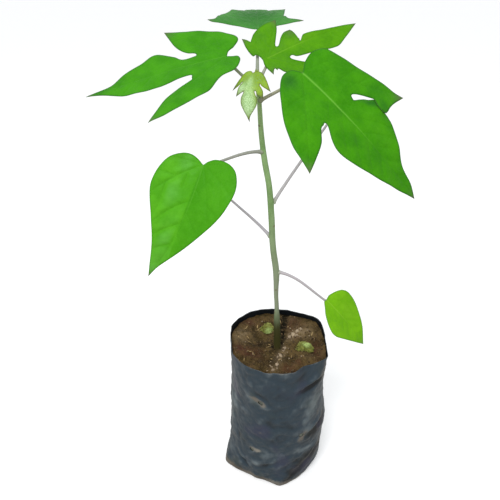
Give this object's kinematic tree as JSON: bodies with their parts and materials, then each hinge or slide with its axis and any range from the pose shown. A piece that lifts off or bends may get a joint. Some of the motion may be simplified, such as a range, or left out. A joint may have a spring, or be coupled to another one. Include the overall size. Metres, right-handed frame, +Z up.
{
  "type": "papaya seedling in a nursery bag",
  "caption": "Young papaya plant with long-stalked lobed and heart-shaped leaves, growing in a soil-filled black polythene nursery bag.",
  "frame": {"origin": "middle of the bag's flat underside, on the surface that the bag stands on", "axes": "+Z up the plant; -Y towards the side with the largest leaf, so that +X is that side's right"},
  "size_m": [0.2435, 0.2308, 0.4711],
  "materials": {
    "black_film": "satin",
    "potting_mix": "matte",
    "stem_green": "satin",
    "stalk_mauve": "satin",
    "leaf_green": "satin"
  },
  "bodies": {
    "root": {"grow_bag": "black_film", "soil": "potting_mix", "stem": "stem_green", "stalk_front_right": "stalk_mauve", "blade_front_right": "leaf_green", "stalk_left": "stalk_mauve", "blade_left": "leaf_green", "stalk_back_right": "stalk_mauve", "blade_back_right": "leaf_green", "stalk_back": "stalk_mauve", "blade_back": "leaf_green", "stalk_heart_left": "stalk_mauve", "blade_heart_left": "leaf_green", "stalk_low_right": "stalk_mauve", "blade_low_right": "leaf_green", "stalk_shaded_left": "stalk_mauve", "blade_shaded_left": "leaf_green", "stalk_shaded_right": "stalk_mauve", "blade_shaded_right": "leaf_green", "stalk_young": "stalk_mauve", "blade_young": "leaf_green"}
  },
  "joints": []
}
